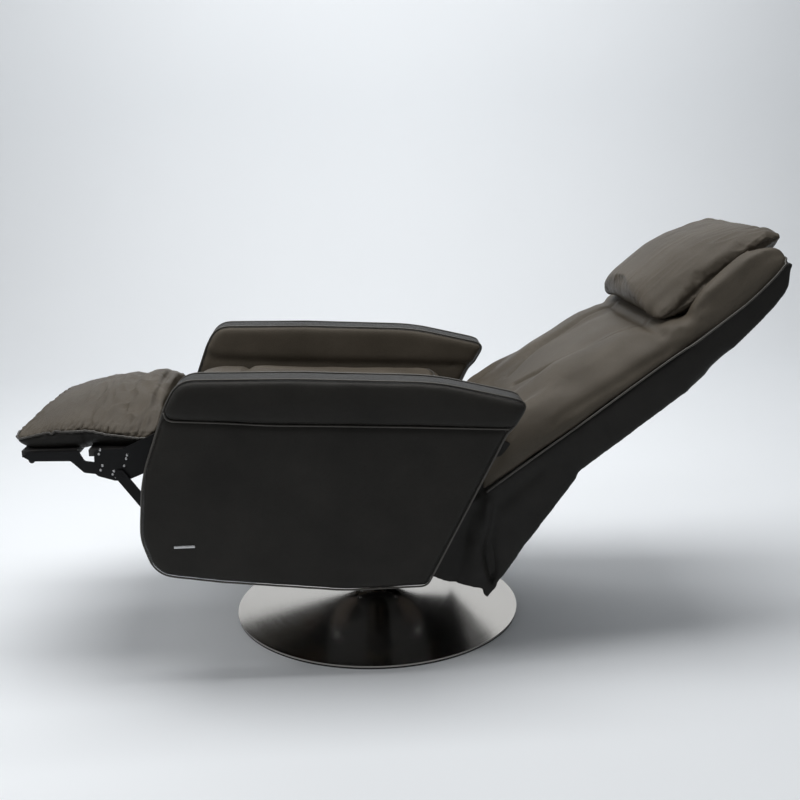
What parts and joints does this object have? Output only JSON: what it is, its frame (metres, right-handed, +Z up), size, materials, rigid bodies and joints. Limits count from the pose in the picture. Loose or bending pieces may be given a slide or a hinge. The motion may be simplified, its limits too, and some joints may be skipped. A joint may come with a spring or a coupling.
{
  "type": "swivel recliner chair",
  "caption": "Leather lounge recliner on a round trumpet-shaped steel swivel base, with folding footrest, reclining back and tilting headrest.",
  "frame": {"origin": "on the swivel axis, at the floor, in the middle of the floor ring", "axes": "+Z up, the sitter faces -Y, +X to the sitter's left"},
  "size_m": [0.712, 1.5196, 0.8346],
  "materials": {
    "spun_steel": "spun, circular satin lines over a near mirror",
    "black_rubber": "matt",
    "raw_steel": "painted steel plate",
    "zinc_steel": "bright zinc",
    "bronze": "sintered, oiled",
    "black_steel": "black powder coat",
    "hardwood": "planed, unfinished",
    "webbing": "woven elastic",
    "leather_seat": "soft grained leather, satin",
    "leather_arm": "grained leather, satin",
    "leather_side": "grained leather, satin",
    "black_board": "black stained board",
    "rod_steel": "hard chrome",
    "black_plastic": "fine texture"
  },
  "bodies": {
    "base": {"base_cover": "spun_steel", "floor_ring": "black_rubber", "base_plate": "raw_steel", "column_tube": "spun_steel", "base_bolts": "zinc_steel", "column_bushes": "bronze", "thrust_washer": "bronze"},
    "seat": {"spindle": "raw_steel", "swivel_plate": "black_steel", "swivel_bolts": "zinc_steel", "subframe_beam_front": "hardwood", "subframe_beam_rear": "hardwood", "side_plate_left": "black_steel", "side_plate_right": "black_steel", "seat_rail_left": "hardwood", "seat_rail_right": "hardwood", "seat_cross_rails": "hardwood", "seat_webbing": "webbing", "seat_cushion": "leather_seat", "arm_core_left": "leather_arm", "arm_core_right": "leather_arm", "arm_pad_left": "leather_arm", "arm_pad_right": "leather_arm", "arm_mounts": "hardwood", "back_spring_cylinder": "black_steel", "foot_spring_cylinder": "black_steel", "spring_brackets": "black_steel"},
    "back": {"back_upright_left": "black_steel", "back_upright_right": "black_steel", "back_cross_tubes": "black_steel", "back_cushion": "leather_seat", "back_board_left": "leather_side", "back_board_right": "leather_side", "back_panel": "leather_side", "back_skirt": "leather_side", "side_flap_left": "leather_side", "side_flap_right": "leather_side"},
    "head": {"head_tube": "black_steel", "head_board": "hardwood", "head_shell": "leather_side", "head_cushion": "leather_side"},
    "head_pillow": {"pillow": "leather_seat"},
    "footrest": {"foot_plate_left": "black_steel", "foot_plate_right": "black_steel", "calf_board": "black_board", "calf_cushion": "leather_seat"},
    "toe_flap": {"toe_board": "black_board", "toe_cushion": "leather_seat", "toe_bar_left": "black_steel", "toe_bar_right": "black_steel", "toe_bumper": "black_rubber"},
    "crank": {"crank_bar_left": "black_steel", "crank_bar_right": "black_steel", "crank_tube": "black_steel"},
    "coupler": {"coupler_link_left": "black_steel", "coupler_link_right": "black_steel"},
    "back_rod": {"back_spring_rod": "rod_steel"},
    "foot_rod": {"foot_spring_rod": "rod_steel"},
    "lever": {"release_lever": "black_plastic", "lever_shaft": "rod_steel"}
  },
  "joints": [
    {"name": "swivel", "type": "hinge", "parent": "base", "child": "seat", "pos_m": [0, 0, 0.199], "axis": [0, 0, 1], "continuous": true},
    {"name": "recline", "type": "hinge", "parent": "seat", "child": "back", "pos_m": [0, 0.235, 0.4], "axis": [1, 0, 0], "range_deg": [0, 35]},
    {"name": "head_tilt", "type": "hinge", "parent": "back", "child": "head", "pos_m": [0, 0.65348, 0.61579], "axis": [1, 0, 0], "range_deg": [0, 20]},
    {"name": "pillow_follow", "type": "hinge", "parent": "head", "child": "head_pillow", "pos_m": [0, 0.79391, 0.80953], "axis": [1, 0, 0], "range_deg": [-8, 0]},
    {"name": "footrest_fold", "type": "hinge", "parent": "seat", "child": "footrest", "pos_m": [0, -0.395, 0.47], "axis": [1, 0, 0], "range_deg": [0, 82]},
    {"name": "toe_fold", "type": "hinge", "parent": "footrest", "child": "toe_flap", "pos_m": [0, -0.528, 0.412], "axis": [1, 0, 0], "range_deg": [0, 24.6]},
    {"name": "crank_turn", "type": "hinge", "parent": "seat", "child": "crank", "pos_m": [0, -0.291, 0.323], "axis": [1, 0, 0], "range_deg": [0, 82]},
    {"name": "coupler_turn", "type": "hinge", "parent": "crank", "child": "coupler", "pos_m": [0, -0.39, 0.255], "axis": [1, 0, 0], "range_deg": [-82, 0]},
    {"name": "back_rod_slide", "type": "slide", "parent": "seat", "child": "back_rod", "axis": [0, 1, 0], "range_m": [0, 0.0485]},
    {"name": "foot_rod_slide", "type": "slide", "parent": "seat", "child": "foot_rod", "axis": [0, 1, 0], "range_m": [0, 0.0398]},
    {"name": "release", "type": "hinge", "parent": "seat", "child": "lever", "pos_m": [-0.2, -0.15, 0.322], "axis": [1, 0, 0], "range_deg": [-25, 0], "stiffness_Nm_per_rad": 2, "springref_deg": 34.38}
  ],
  "couplings": [
    {"joint": "pillow_follow", "follows": "head_tilt", "ratio": -0.4},
    {"joint": "toe_fold", "follows": "footrest_fold", "ratio": 0.3},
    {"joint": "crank_turn", "follows": "footrest_fold", "ratio": 1},
    {"joint": "coupler_turn", "follows": "footrest_fold", "ratio": -1},
    {"joint": "back_rod_slide", "follows": "recline", "m_per_rad": 0.0789},
    {"joint": "foot_rod_slide", "follows": "footrest_fold", "m_per_rad": 0.0275}
  ]
}
